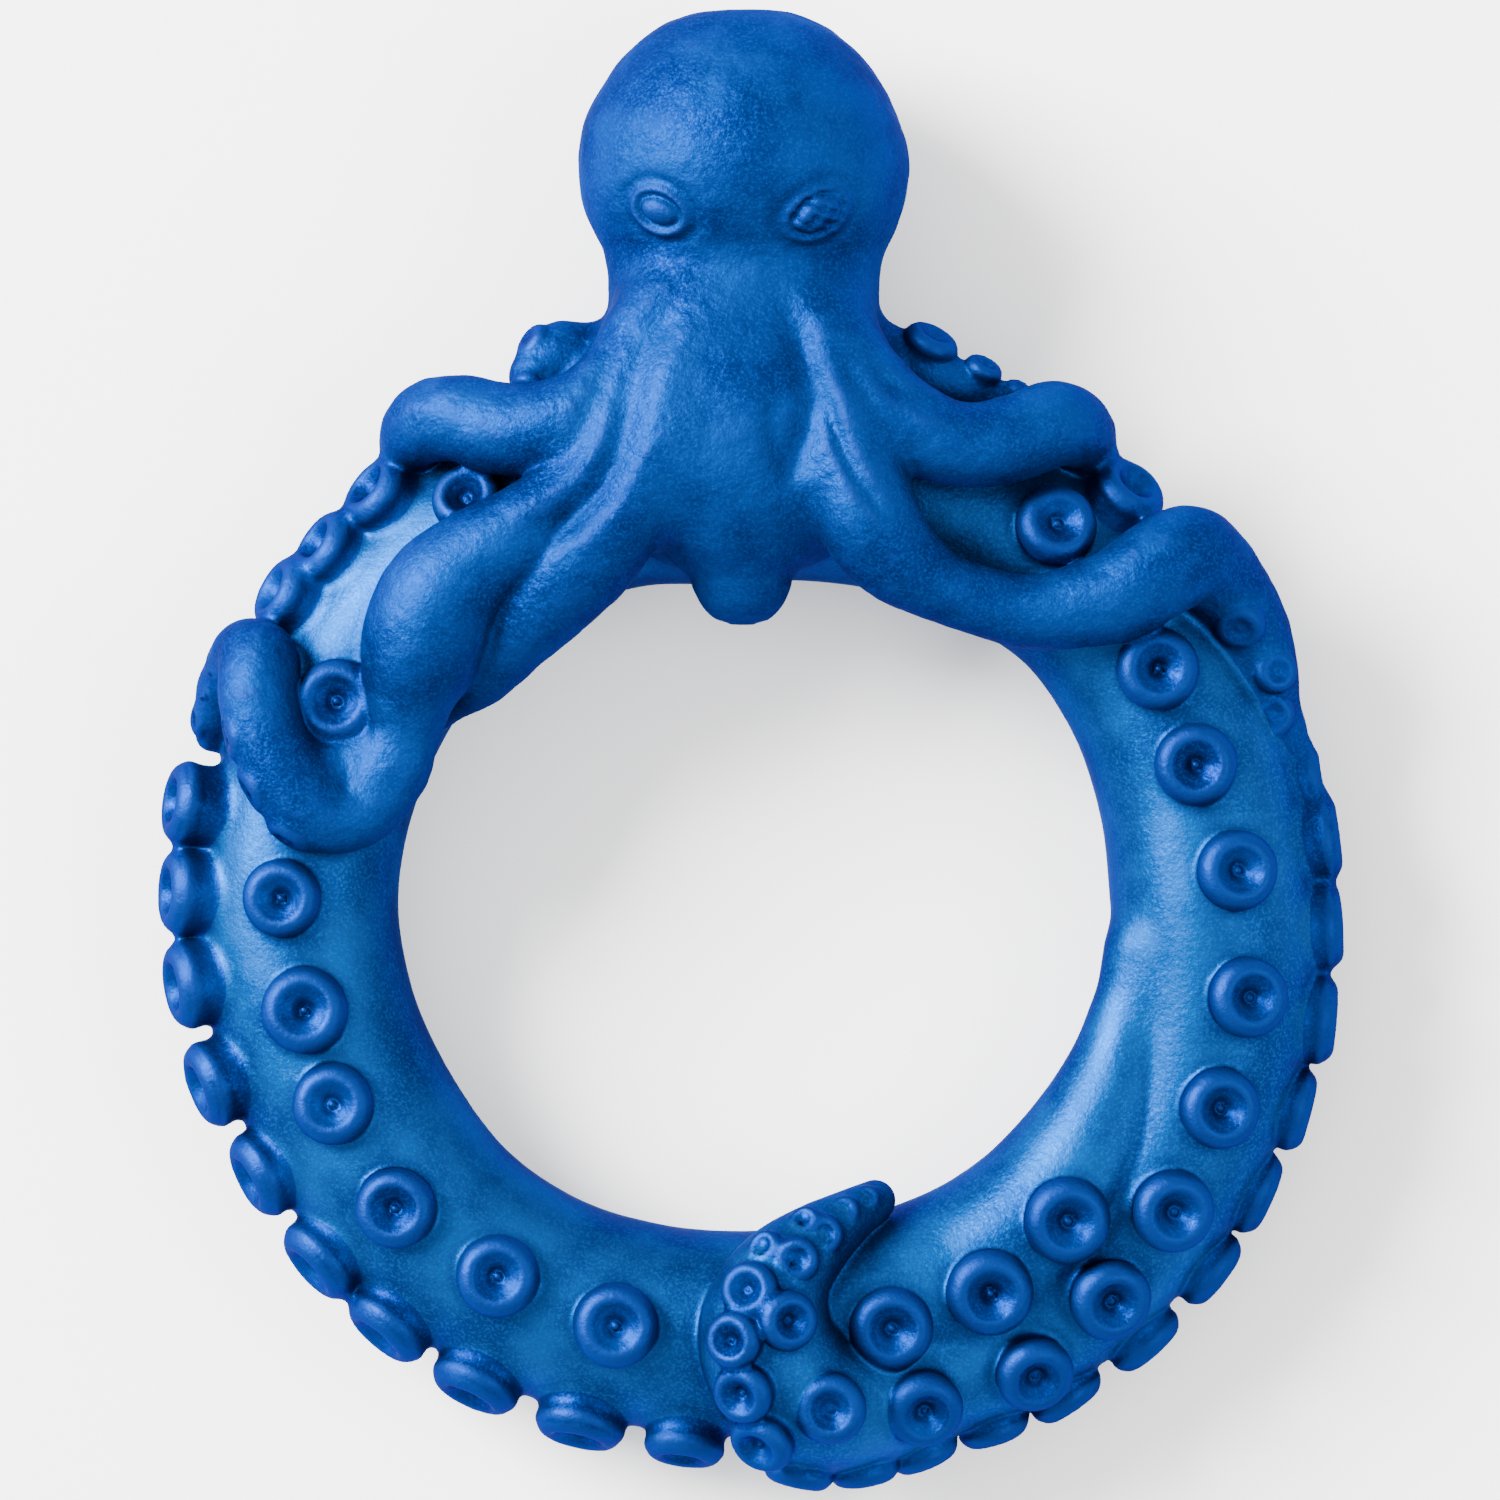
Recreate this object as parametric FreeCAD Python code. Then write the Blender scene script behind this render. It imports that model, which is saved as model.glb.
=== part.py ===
"""Soft ring moulded as an octopus: a thick ring of two tentacles with suckers, a round mantle with two eyes on top,
a body skirt, and arms that lie over the ring and wrap round its outer flank.

Millimetres. It lies on its back on a surface: +Z is out of the face, +Y runs from the opening towards the head,
+X is to the right as seen on the face. The origin is on the axis of the opening, in the plane it rests on.
"""

import math
import os

import FreeCAD
import Part

V = FreeCAD.Vector

# ---- driving dimensions -------------------------------------------------------------------------------------------
REST_PLANE_Z = 0.0  # the back, where the tubes are trimmed to a narrow flat land
NECK_Y = 30.6  # where the mantle ends and the body skirt begins
EYE_LEFT = (-4.7, 34.21, 13.15)
EYE_RIGHT = (3.21, 33.86, 13.45)
EYE_RX, EYE_RY, EYE_RZ = 1.5, 1.2, 1.15
SECTIONS_PER_SPAN = 3  # loft sections between two rows of a path

# Each path row is a point of a tentacle's centreline and its radius there: x, y, z, r.
RING_LEFT = [
    (-1.84, 21, 4.7, 4.85),
    (-6.68, 20.53, 4.75, 4.9),
    (-11.73, 18.73, 4.75, 4.9),
    (-16.1, 15.5, 4.8, 4.95),
    (-19.56, 11.25, 4.85, 5),
    (-22.06, 5.86, 4.85, 5),
    (-22.94, -0.05, 4.85, 5),
    (-22.06, -5.96, 4.9, 5.05),
    (-19.69, -11.42, 4.9, 5.05),
    (-15.97, -16.02, 4.9, 5.05),
    (-11.14, -19.35, 4.9, 5.05),
    (-5.65, -21.13, 4.95, 5.1),
    (0, -21.57, 5, 5.15),
    (5.55, -20.75, 4.85, 5),
    (10.12, -19.07, 4.6, 4.75),
    (13.74, -16.41, 5.1, 4.3),
    (16.47, -12.91, 5.5, 3.7),
    (18.23, -8.92, 5.9, 2.85),
    (18.96, -5.46, 6.2, 2.15),
    (19.12, -2.71, 6.4, 1.55),
]
RING_RIGHT = [
    (-1.84, 21, 4.7, 4.85),
    (2.96, 21.03, 4.75, 4.9),
    (8.18, 20.2, 4.8, 4.95),
    (12.84, 18.29, 4.85, 5),
    (16.9, 15.17, 4.85, 5),
    (20.26, 10.72, 4.85, 5),
    (22.26, 5.5, 4.85, 5),
    (22.94, -0.05, 4.9, 5.05),
    (23.09, -4.12, 4.8, 4.95),
    (22.51, -8.25, 4.6, 4.75),
    (21.11, -12.24, 4.4, 4.55),
    (18.87, -15.89, 4.2, 4.35),
    (15.94, -19.05, 4.05, 4.2),
    (12.44, -21.61, 4.2, 4),
    (8.83, -23.04, 5.2, 3.85),
    (5.16, -24.41, 7, 3.8),
    (2.55, -24.41, 8.7, 3.7),
    (0.85, -22.54, 9.8, 3.45),
    (0.5, -20.52, 10.3, 3.1),
    (1.24, -18.44, 10.2, 2.5),
    (2.79, -16.58, 9.4, 1.9),
    (4.6, -15.24, 8.2, 1.35),
    (6.16, -14.39, 7, 0.85),
]
ARM_LEFT_REAR = [
    (-6.65, 26.35, 8, 1.8),
    (-8.84, 27.03, 8.5, 1.7),
    (-10.39, 27.73, 8.6, 1.4),
    (-11.38, 26.91, 9, 1.05),
    (-11.27, 25.74, 9.6, 0.6),
]
ARM_LEFT_UPPER = [
    (-5.2, 28.3, 13, 1.6),
    (-6.44, 25.82, 13, 1.9),
    (-8.18, 24.1, 12.8, 2.1),
    (-10.28, 23.33, 11.8, 2.3),
    (-12.69, 23.53, 10.4, 2.3),
    (-15.13, 24.28, 8.6, 2.2),
    (-16.99, 24.54, 6.8, 2),
    (-18, 23.94, 5.2, 1.7),
    (-18.49, 22.62, 4, 1.3),
    (-18.32, 20.87, 3.2, 0.85),
]
ARM_LEFT_LOWER = [
    (-4.45, 29.02, 13.5, 1.4),
    (-5.69, 25.54, 13.9, 1.9),
    (-7.67, 22.09, 13.7, 2.3),
    (-10.4, 19.63, 13, 2.6),
    (-13.15, 17.77, 12, 2.9),
    (-15.31, 15.5, 11, 3.1),
    (-16.32, 12.63, 10.4, 3.1),
    (-16.88, 9.74, 10.2, 2.8),
    (-17.72, 7.05, 10.3, 2.4),
    (-19.44, 4.97, 10.8, 2.1),
    (-21.72, 4.77, 11.1, 2),
    (-23.4, 6.41, 11.2, 1.9),
    (-24.47, 8.94, 10.8, 1.8),
    (-25.27, 11.34, 9.6, 1.8),
    (-26.07, 13.05, 7.6, 1.7),
    (-26.77, 13.58, 5.6, 1.5),
    (-27.36, 12.54, 4, 1.2),
    (-27.81, 10.78, 3.2, 0.85),
]
ARM_LEFT_INNER = [
    (-2.72, 27.76, 14, 1.3),
    (-3.71, 24.05, 14.2, 2),
    (-5.44, 20.71, 13.6, 2.5),
    (-7.59, 18.06, 12.2, 2.5),
    (-9.55, 15.61, 10.6, 2.05),
    (-10.93, 13.74, 8.8, 1.5),
    (-11.83, 12.21, 6.8, 1.1),
    (-12.42, 11.07, 5, 0.7),
]
CHIN = [
    (-0.65, 26.6, 12.9, 2.3),
    (-0.64, 23.2, 13.5, 2.75),
    (-0.65, 20.2, 13.0, 2.7),
    (-0.7, 17.9, 11.7, 2.3),
    (-0.7, 16.45, 10.5, 1.9),
    (-0.7, 15.75, 9.9, 1.65),
]
ARM_RIGHT_REAR = [
    (5.66, 27.79, 7, 1.8),
    (7.51, 27.62, 7.4, 1.7),
    (9.51, 26.62, 7.4, 1.55),
    (11.52, 25.67, 7.3, 1.4),
    (13.17, 25.18, 7.2, 1.2),
    (14.79, 24.49, 6.8, 0.85),
]
ARM_RIGHT_UPPER = [
    (3.96, 28.3, 13, 1.6),
    (5.2, 25.82, 13, 1.9),
    (6.93, 23.85, 12.7, 2.1),
    (9.18, 22.63, 12, 2.1),
    (11.68, 22.56, 11.1, 2.1),
    (13.94, 23.34, 10, 2.05),
    (15.64, 24.19, 8.4, 2),
    (16.7, 24.04, 6.6, 1.75),
    (17.25, 23.09, 5, 1.35),
    (17.65, 21.36, 3.8, 0.85),
]
ARM_RIGHT_LOWER = [
    (3.46, 28.28, 13.5, 1.4),
    (4.45, 25.05, 13.9, 1.8),
    (5.29, 21.59, 13.7, 2.2),
    (6.53, 18.4, 13, 2.3),
    (8.98, 16.13, 12, 2.1),
    (12.17, 14.85, 11.3, 1.9),
    (15.41, 14.66, 11, 1.9),
    (18.15, 15.41, 10.8, 2.1),
    (20.16, 16.86, 10.3, 2.2),
    (22, 17.68, 9.2, 2.2),
    (23.56, 17.1, 7.8, 2.1),
    (24.71, 15.37, 6.8, 2.05),
    (25.39, 13.17, 6.2, 1.85),
    (25.87, 10.86, 5.6, 1.55),
    (26.35, 8.66, 5, 1.15),
    (26.83, 6.64, 4.6, 0.65),
]
CUPS_LEFT_FACE = [
    (-14.13, 19.83, 9.16, -0.206, 0.394, 0.896, 1.75, 1.9),
    (-20.77, 10.12, 9.83, -0.067, 0.076, 0.995, 2.1, 1.5),
    (-23.5, 0.39, 9.81, -0.115, -0.03, 0.993, 1.95, 1.35),
    (-22.4, -5.22, 9.94, -0.036, 0.034, 0.999, 2.15, 1.4),
    (-20.96, -9.88, 9.94, -0.082, -0.005, 0.997, 2, 1.35),
    (-17.83, -15.03, 9.91, -0.122, -0.053, 0.991, 2, 1.35),
    (-12.79, -18.45, 9.94, -0.023, 0.012, 1, 2.05, 1.4),
    (-6.91, -20.9, 10.03, -0.028, -0.004, 1, 2.1, 1.4),
]
CUPS_INNER_END = [
    (6.79, -20.97, 9.72, 0.049, -0.098, 0.994, 2.05, 1.5),
    (11.67, -19.19, 9.25, 0.079, -0.176, 0.981, 2.15, 1.5),
    (15.5, -15.62, 9.28, 0.137, -0.13, 0.982, 2.15, 1.5),
]
CUPS_LEFT_EDGE = [
    (-17.14, 20.39, 7.04, -0.545, 0.701, 0.46, 1.9, 1.6),
    (-19.79, 17.57, 7.64, -0.589, 0.573, 0.57, 1.9, 1.6),
    (-22.27, 14.69, 7.61, -0.665, 0.501, 0.554, 1.9, 1.6),
    (-27.19, 4.64, 6.53, -0.915, 0.222, 0.337, 1.95, 1.6),
    (-27.22, 0.59, 7.42, -0.858, 0.009, 0.514, 2, 1.6),
    (-26.98, -3.76, 7.41, -0.851, -0.144, 0.505, 2.05, 1.6),
    (-25.79, -8.42, 7.57, -0.808, -0.262, 0.527, 2.05, 1.6),
    (-23.78, -12.98, 7.52, -0.751, -0.41, 0.518, 2.05, 1.6),
    (-20.81, -16.98, 7.76, -0.634, -0.527, 0.565, 2.1, 1.6),
    (-17.47, -20.03, 7.96, -0.471, -0.64, 0.606, 2.1, 1.6),
    (-13.38, -22.78, 7.87, -0.342, -0.732, 0.589, 2.1, 1.6),
    (-8.41, -24.56, 8.12, -0.213, -0.75, 0.626, 2.1, 1.5),
    (-3.35, -25.58, 8.08, -0.101, -0.792, 0.602, 1.85, 1.4),
]
CUPS_RIGHT_FACE = [
    (14.95, 18.84, 9.6, 0.164, 0.271, 0.949, 2, 1.3),
    (20.03, 11.79, 9.84, 0.069, 0.022, 0.997, 2.05, 1.3),
    (21.92, 7.03, 9.84, 0.025, -0.018, 1, 2.05, 1.4),
    (23.9, 1.73, 9.82, 0.215, 0.042, 0.976, 2, 1.4),
    (24.43, -4.57, 9.52, 0.277, -0.008, 0.961, 2, 1.5),
    (23.06, -10.09, 9.07, 0.216, -0.047, 0.975, 2, 1.5),
    (20.74, -15.16, 8.56, 0.2, -0.152, 0.968, 2.05, 1.6),
    (17.61, -19.56, 8.02, 0.245, -0.258, 0.935, 2.05, 1.6),
    (13.81, -23.15, 7.62, 0.253, -0.434, 0.865, 1.95, 1.6),
    (8.32, -24.89, 9.2, 0.161, -0.362, 0.918, 1.95, 1.5),
]
CUPS_RIGHT_EDGE = [
    (18, 19.83, 7.58, 0.529, 0.651, 0.545, 1.8, 1.4),
    (27.71, 3.25, 4.88, 0.993, 0.118, 0, 2.05, 1.5),
    (28.07, -1.12, 4.88, 0.999, 0.052, 0, 2.1, 1.5),
    (27.88, -5.75, 4.75, 0.997, -0.081, 0, 2.15, 1.5),
    (26.85, -10.25, 4.56, 0.968, -0.252, 0, 2.05, 1.5),
    (25.06, -14.47, 4.22, 0.912, -0.408, -0.035, 2.05, 1.4),
    (22.61, -18.16, 3.91, 0.798, -0.599, -0.07, 1.95, 1.4),
    (19.36, -21.63, 3.69, 0.659, -0.747, -0.087, 1.95, 1.4),
    (15.48, -24.45, 3.69, 0.576, -0.811, -0.105, 1.9, 1.3),
    (11.92, -26.06, 4.05, 0.324, -0.936, -0.139, 1.75, 1.2),
    (8.42, -27.3, 5.52, 0.388, -0.911, -0.139, 1.7, 1.1),
    (5.45, -28.18, 6.65, 0.157, -0.978, -0.139, 1.7, 1),
    (2.22, -28.19, 8.07, -0.208, -0.974, -0.087, 1.7, 1),
]
CUPS_TIP = [
    (3.75, -24.89, 11.65, 0.006, -0.073, 0.997, 1.75, 1.3),
    (1.51, -20.45, 13.2, 0.324, -0.045, 0.945, 1.5, 1.1),
    (2.09, -17.2, 11.92, -0.011, 0.035, 0.999, 1.1, 0.85),
    (3.45, -15.99, 10.62, -0.033, -0.003, 0.999, 0.95, 0.7),
    (0.53, -26.34, 11.43, -0.438, -0.597, 0.672, 1.65, 1.2),
    (-0.39, -23.95, 12.65, -0.42, -0.284, 0.862, 1.55, 1.2),
    (-0.88, -21.42, 13.13, -0.421, -0.025, 0.907, 1.45, 1.1),
    (-0.17, -19.04, 12.96, -0.328, 0.152, 0.932, 1.45, 1),
    (0.7, -16.75, 11.55, -0.52, 0.33, 0.79, 0.88, 0.75),
    (2.57, -15.48, 10.68, -0.318, 0.445, 0.837, 0.8, 0.6),
    (4.56, -14.91, 9.34, -0.159, 0.175, 0.972, 0.7, 0.5),
    (5.71, -14.33, 8.15, -0.152, 0.237, 0.96, 0.55, 0.45),
]
CUPS_ARMS_LEFT = [
    (-10.96, 28.42, 9.48, -0.451, 0.551, 0.702, 0.95, 0.7),
    (-12.09, 26.91, 9.62, -0.756, 0.0, 0.655, 0.8, 0.6),
    (-22.28, 3.1, 11.47, -0.309, -0.928, 0.206, 1.45, 0.9),
    (-24.86, 5.55, 11.46, -0.852, -0.501, 0.15, 1.4, 0.9),
    (-26.17, 8.9, 11.03, -0.971, -0.123, 0.204, 1.3, 0.85),
    (-26.98, 11.76, 9.73, -0.974, 0.1, 0.201, 1.15, 0.8),
    (-28.09, 13.68, 5.71, -0.862, 0.304, 0.406, 1.0, 0.7),
    (-28.46, 11.21, 3.88, -0.902, -0.1, 0.421, 0.8, 0.6),
]
CUPS_ARMS_RIGHT = [
    (9.08, 28.47, 7.81, 0.401, 0.872, 0.281, 1.15, 0.85),
    (11.42, 27.18, 7.71, 0.382, 0.874, 0.301, 1.0, 0.8),
    (13.3, 26.21, 7.56, 0.361, 0.872, 0.331, 0.8, 0.7),
    (24.05, 13.95, 8.55, 0.4, 0.15, 0.9, 1.25, 0.8),
    (26.35, 12.2, 7.1, 0.82, 0.1, 0.56, 1.15, 0.8),
    (26.6, 9.3, 6.2, 0.86, 0.05, 0.5, 1.1, 0.75),
]

# The mantle, from the neck to the crown, as ellipses: y, half width, centre z, half depth, centre x.
MANTLE = [
    (30.6, 6.7, 7.8, 5.5, -0.5),
    (31.6, 6.74, 7.8, 5.65, -0.5),
    (32.6, 7.02, 7.8, 6.0, -0.5),
    (33.6, 7.45, 7.85, 6.5, -0.55),
    (34.8, 7.88, 7.9, 7.05, -0.55),
    (36.2, 8.1, 7.9, 7.45, -0.55),
    (37.6, 8.1, 7.9, 7.55, -0.55),
    (39.0, 7.86, 7.9, 7.4, -0.6),
    (40.3, 7.36, 7.9, 6.95, -0.6),
    (41.5, 6.64, 7.9, 6.25, -0.6),
    (42.5, 5.82, 7.9, 5.45, -0.6),
    (43.3, 4.92, 7.9, 4.6, -0.6),
    (43.9, 4.0, 7.9, 3.75, -0.6),
    (44.3, 3.1, 7.9, 2.9, -0.65),
    (44.55, 2.2, 7.9, 2.05, -0.7),
    (44.66, 1.2, 7.9, 1.1, -0.7),
]
# The body skirt from the neck down over the ring: y, half width, centre z, half depth, centre x.
SKIRT = [
    (30.6, 6.75, 7.8, 5.5, -0.45),
    (29.0, 6.7, 7.8, 5.6, -0.45),
    (27.0, 7.1, 7.8, 6.0, -0.45),
    (24.5, 7.6, 7.7, 6.6, -0.45),
    (22.0, 7.7, 7.7, 6.9, -0.45),
    (19.5, 6.6, 8.3, 5.9, -0.45),
    (17.6, 4.6, 9.0, 4.0, -0.5),
    (16.9, 2.6, 9.3, 2.6, -0.6),
]


def dense(path, n):
    """Catmull-Rom points through a path, n to a span."""
    rows = [list(p) for p in path]
    k = len(rows[0])
    first = [2 * rows[0][i] - rows[1][i] for i in range(k)]
    last = [2 * rows[-1][i] - rows[-2][i] for i in range(k)]
    ext = [first] + rows + [last]
    out = []
    for s in range(len(rows) - 1):
        p0, p1, p2, p3 = ext[s : s + 4]
        for j in range(n):
            t = j / n
            out.append(
                [
                    0.5
                    * (
                        2 * p1[i]
                        + (p2[i] - p0[i]) * t
                        + (2 * p0[i] - 5 * p1[i] + 4 * p2[i] - p3[i]) * t * t
                        + (3 * p1[i] - p0[i] - 3 * p2[i] + p3[i]) * t**3
                    )
                    for i in range(k)
                ]
            )
    out.append(rows[-1])
    return out


def section(centre, tangent, up, r):
    """A circle of radius r round centre, square to tangent, whose seam points along up."""
    x = (up - tangent * up.dot(tangent)).normalize()
    y = tangent.cross(x).normalize()
    m = FreeCAD.Matrix(
        x.x, y.x, tangent.x, centre.x, x.y, y.y, tangent.y, centre.y, x.z, y.z, tangent.z, centre.z, 0, 0, 0, 1
    )
    wire = Part.Wire(Part.Circle(V(0, 0, 0), V(0, 0, 1), r).toShape())
    wire.Placement = FreeCAD.Placement(m)
    return wire


def tube(path, n=SECTIONS_PER_SPAN, round_end=True):
    """A tapered tentacle through a path: one smooth loft, with a domed end."""
    rows = dense(path, n)
    pts = [V(*r[:3]) for r in rows]
    wires = []
    up = None
    for i, row in enumerate(rows):
        a, b = pts[max(0, i - 1)], pts[min(len(pts) - 1, i + 1)]
        t = (b - a).normalize()
        if up is None:
            up = V(0, 0, 1) if abs(t.z) < 0.9 else V(1, 0, 0)
        up = (up - t * up.dot(t)).normalize()
        wires.append(section(pts[i], t, up, row[3]))
    if round_end:
        t = (pts[-1] - pts[-2]).normalize()
        r = rows[-1][3]
        for k in (0.5, 0.8, 0.96):
            wires.append(section(pts[-1] + t * (r * k), t, up, r * math.sqrt(1 - k * k)))
    solid = Part.makeLoft(wires, True, False)
    return solid if solid.isValid() else Part.makeLoft(wires, True, True)


def cup(bx, by, bz, nx, ny, nz, r, h, sink=0.75):
    """One sucker: a flared base, a rounded rim and a dished face with a small boss in its floor."""
    pts = [(r * 1.04, -sink), (r * 1.0, 0.25 * h), (r * 0.93, 0.72 * h), (r * 0.70, h), (r * 0.50, 0.86 * h), (r * 0.36, 0.5 * h), (r * 0.2, 0.46 * h), (0.0, 0.52 * h)]
    curve = Part.BSplineCurve()
    curve.interpolate([V(x, 0, z) for x, z in pts])
    foot = Part.LineSegment(V(0, 0, -sink), V(pts[0][0], 0, -sink)).toShape()
    axis = Part.LineSegment(V(0, 0, pts[-1][1]), V(0, 0, -sink)).toShape()
    face = Part.Face(Part.Wire([foot, curve.toShape(), axis]))
    solid = face.revolve(V(0, 0, 0), V(0, 0, 1), 360)
    if solid.Volume < 0:
        solid.reverse()
    solid.Placement = FreeCAD.Placement(V(bx, by, bz), FreeCAD.Rotation(V(0, 0, 1), V(nx, ny, nz)))
    return solid


def ellipse_wire(y, hw, zc, hd, xc):
    e = Part.Ellipse(V(0, 0, 0), max(hw, hd), min(hw, hd))
    w = Part.Wire(e.toShape())
    turn = FreeCAD.Rotation(V(1, 0, 0), V(0, 0, -1), V(0, 1, 0), "XZY")
    if hd > hw:
        turn = FreeCAD.Rotation(V(0, 0, 1), V(1, 0, 0), V(0, 1, 0), "XZY")
    w.Placement = FreeCAD.Placement(V(xc, y, zc), turn)
    return w


def spheroid(c, rx, ry, rz):
    s = Part.makeSphere(1.0)
    m = FreeCAD.Matrix(rx, 0, 0, c[0], 0, ry, 0, c[1], 0, 0, rz, c[2], 0, 0, 0, 1)
    return s.transformGeometry(m)


def solids_of(shape, least=0.02):
    return [s for s in shape.Solids if s.Volume > least]


def tube_balls(path):
    """Balls that together cover a tentacle, to tell quickly which pieces can meet."""
    return [(r[0], r[1], r[2], r[3] + 0.35) for r in dense(path, 4)]


def loft_balls(rows):
    return [(xc, y, zc, max(hw, hd) + 0.6) for y, hw, zc, hd, xc in rows]


def cup_ball(bx, by, bz, nx, ny, nz, r, h):
    m = 0.5 * (h - 0.75)
    return [(bx + nx * m, by + ny * m, bz + nz * m, math.hypot(r * 1.04, 0.5 * (h + 0.75)))]


def meets(one, other):
    for ax, ay, az, ar in one:
        for bx, by, bz, br in other:
            d = ar + br
            if abs(ax - bx) < d and abs(ay - by) < d and (ax - bx) ** 2 + (ay - by) ** 2 + (az - bz) ** 2 < d * d:
                return True
    return False


def cut(shape, balls, tools):
    """shape less each tool that can reach it, kept as its largest solid; a tool is (solid, its balls)."""
    for tool, reach in tools:
        if not meets(balls, reach):
            continue
        found = solids_of(shape.cut(tool))
        best = max(found, key=lambda s: s.Volume) if found else None
        if best is None or not best.isValid() or best.Volume > shape.Volume * 1.001:
            print("  a cut was left out at volume %.1f" % shape.Volume)
            continue
        shape = best
    return shape


def closed(solid):
    """Whether the solid meshes without a gap."""
    points, triangles = solid.tessellate(0.01)
    key = [(round(p.x, 4), round(p.y, 4), round(p.z, 4)) for p in points]
    uses = {}
    for tri in triangles:
        a, b, c = (key[i] for i in tri)
        if a == b or b == c or c == a:
            continue
        for e in ((a, b), (b, c), (c, a)):
            e = min(e), max(e)
            uses[e] = uses.get(e, 0) + 1
    return all(n == 2 for n in uses.values())


def trimmed(shape):
    """Cut off below the rest plane, which leaves the flat land that it stands on."""
    below = Part.makeBox(200, 200, 20, V(-100, -100, REST_PLANE_Z - 20))
    return max(solids_of(shape.cut(below)), key=lambda s: s.Volume)


def main():
    os.makedirs("parts", exist_ok=True)
    nodes = {}

    whole = tube(RING_LEFT)
    left = (trimmed(whole), tube_balls(RING_LEFT))
    balls = tube_balls(RING_RIGHT)
    right = (cut(trimmed(tube(RING_RIGHT)), balls, [(whole, left[1])]), balls)
    nodes["ring_tentacle_left"] = left[0]
    nodes["ring_tentacle_right"] = right[0]

    nodes["mantle_head"] = Part.makeLoft([ellipse_wire(*w) for w in MANTLE], True, False)
    head = (nodes["mantle_head"], loft_balls(MANTLE))
    balls = loft_balls(SKIRT)
    nodes["body_skirt"] = cut(Part.makeLoft([ellipse_wire(*w) for w in SKIRT], True, False), balls, [left, right])
    skirt = (nodes["body_skirt"], balls)

    for name, c in (("eye_left", EYE_LEFT), ("eye_right", EYE_RIGHT)):
        nodes[name] = cut(spheroid(c, EYE_RX, EYE_RY, EYE_RZ), [c + (EYE_RX,)], [head])

    arms = (
        ("chin_lobe", CHIN),
        ("arm_left_lower", ARM_LEFT_LOWER),
        ("arm_right_lower", ARM_RIGHT_LOWER),
        ("arm_left_inner", ARM_LEFT_INNER),
        ("arm_left_upper", ARM_LEFT_UPPER),
        ("arm_right_upper", ARM_RIGHT_UPPER),
        ("arm_left_rear", ARM_LEFT_REAR),
        ("arm_right_rear", ARM_RIGHT_REAR),
    )
    solid = [left, right, skirt, head]
    for name, path in arms:
        balls = tube_balls(path)
        nodes[name] = cut(tube(path), balls, solid)
        solid.append((nodes[name], balls))

    groups = (
        ("suckers_left_face", CUPS_LEFT_FACE),
        ("suckers_inner_end", CUPS_INNER_END),
        ("suckers_left_edge", CUPS_LEFT_EDGE),
        ("suckers_right_face", CUPS_RIGHT_FACE),
        ("suckers_right_edge", CUPS_RIGHT_EDGE),
        ("suckers_tip", CUPS_TIP),
        ("suckers_arms_left", CUPS_ARMS_LEFT),
        ("suckers_arms_right", CUPS_ARMS_RIGHT),
    )
    for name, rows in groups:
        made = []
        for bx, by, bz, nx, ny, nz, r, h in rows:
            for lift in (0.0, 0.04, -0.04, 0.08, -0.08):
                row = (bx + nx * lift, by + ny * lift, bz + nz * lift, nx, ny, nz, r, h)
                balls = cup_ball(*row)
                one = cut(cup(*row), balls, solid)
                if closed(one):
                    break
                print("  a sucker of %s is set %.2f mm over" % (name, lift + 0.04))
            made.append(one)
            solid.append((one, balls))
        nodes[name] = Part.makeCompound(made)

    for name, shape in nodes.items():
        shape.exportStep("parts/%s.step" % name)
        b = shape.optimalBoundingBox()
        print(
            "%-22s %8.1f mm3  %2d solids  x %6.2f..%6.2f  y %6.2f..%6.2f  z %6.2f..%6.2f"
            % (name, shape.Volume, len(shape.Solids), b.XMin, b.XMax, b.YMin, b.YMax, b.ZMin, b.ZMax)
        )


main()
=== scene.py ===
import math

import bpy
import numpy as np
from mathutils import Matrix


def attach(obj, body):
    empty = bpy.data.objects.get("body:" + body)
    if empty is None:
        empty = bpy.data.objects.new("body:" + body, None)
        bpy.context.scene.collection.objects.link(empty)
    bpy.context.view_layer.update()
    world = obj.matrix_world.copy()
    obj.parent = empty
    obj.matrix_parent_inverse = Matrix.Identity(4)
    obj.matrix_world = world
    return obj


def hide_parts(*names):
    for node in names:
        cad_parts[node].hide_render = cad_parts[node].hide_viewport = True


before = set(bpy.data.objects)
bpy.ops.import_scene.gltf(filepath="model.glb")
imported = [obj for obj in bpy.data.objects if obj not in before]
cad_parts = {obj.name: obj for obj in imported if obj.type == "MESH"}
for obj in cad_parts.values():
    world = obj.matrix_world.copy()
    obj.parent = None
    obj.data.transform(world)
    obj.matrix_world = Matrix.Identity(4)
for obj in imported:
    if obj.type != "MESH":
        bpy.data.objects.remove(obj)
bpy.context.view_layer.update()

import openvdb
from mathutils import Vector

# The looks of a soft ring moulded as an octopus. The shape is sculpted as one distance field in millimetres, in the
# row frame, from the same tentacle paths as the CAD, then cut into one closed piece per node along its own creases.

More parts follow.
